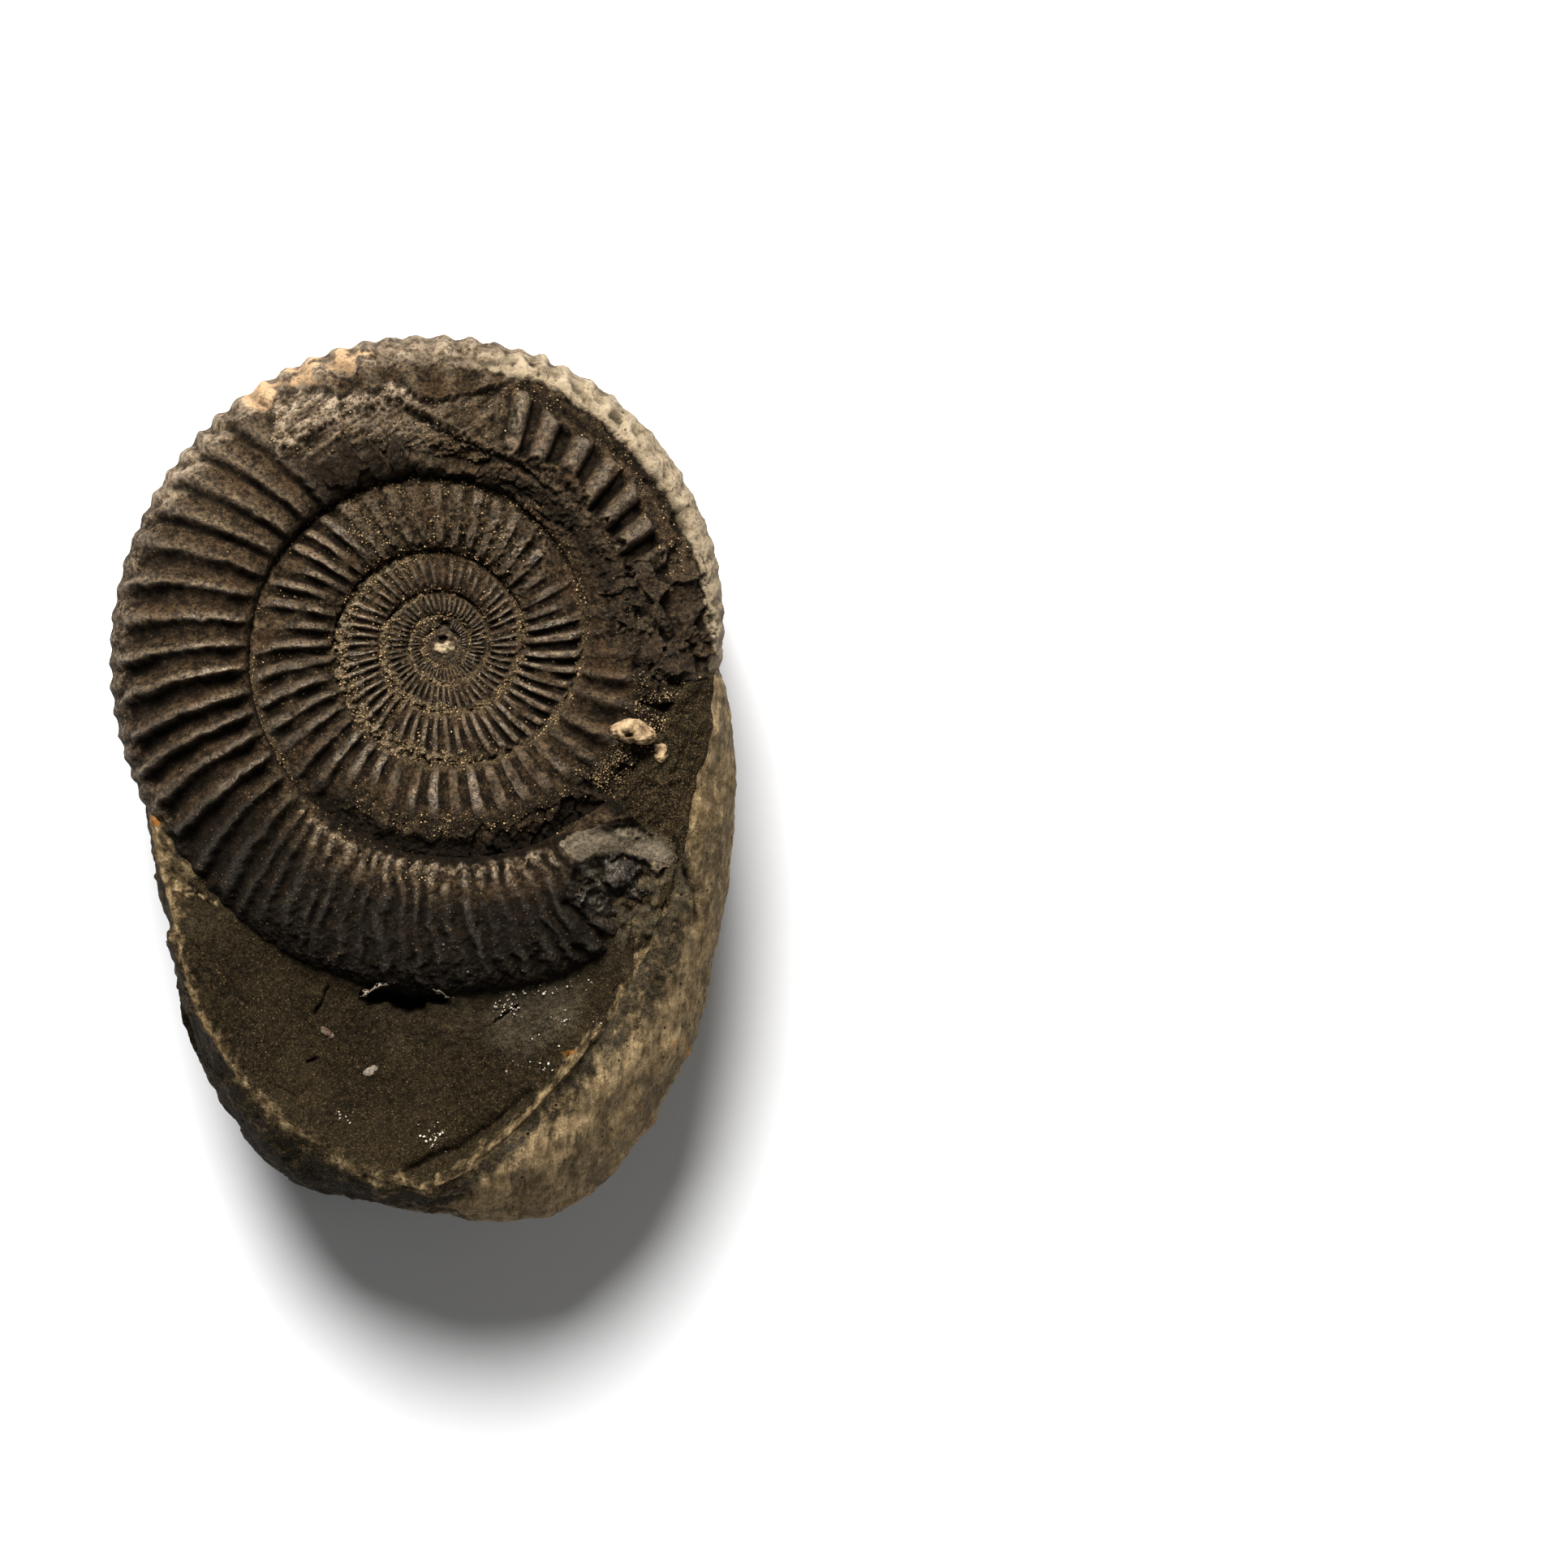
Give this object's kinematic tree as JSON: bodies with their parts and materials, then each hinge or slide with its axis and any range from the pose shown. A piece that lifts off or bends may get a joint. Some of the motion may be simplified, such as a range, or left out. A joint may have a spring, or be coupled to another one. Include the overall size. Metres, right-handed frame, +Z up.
{
  "type": "ammonite nodule",
  "caption": "Half of a split rock nodule with a coiled, ribbed ammonite lying in relief in its upper face.",
  "frame": {"origin": "middle of the outline, on the surface that the nodule rests on", "axes": "+Z up, out of the face that shows the shell; +Y along the nodule's length, from its bare rock end towards its shell end; +X to the right as seen from above"},
  "size_m": [0.0773, 0.1102, 0.0421],
  "materials": {
    "mudstone": "matt, dark grey-brown",
    "fossil_shell": "satin, dark brown",
    "pale_crust": "matt, pale tan"
  },
  "bodies": {
    "root": {"nodule_rock": "mudstone", "ammonite": "fossil_shell", "mudstone_crumb": "pale_crust"}
  },
  "joints": []
}
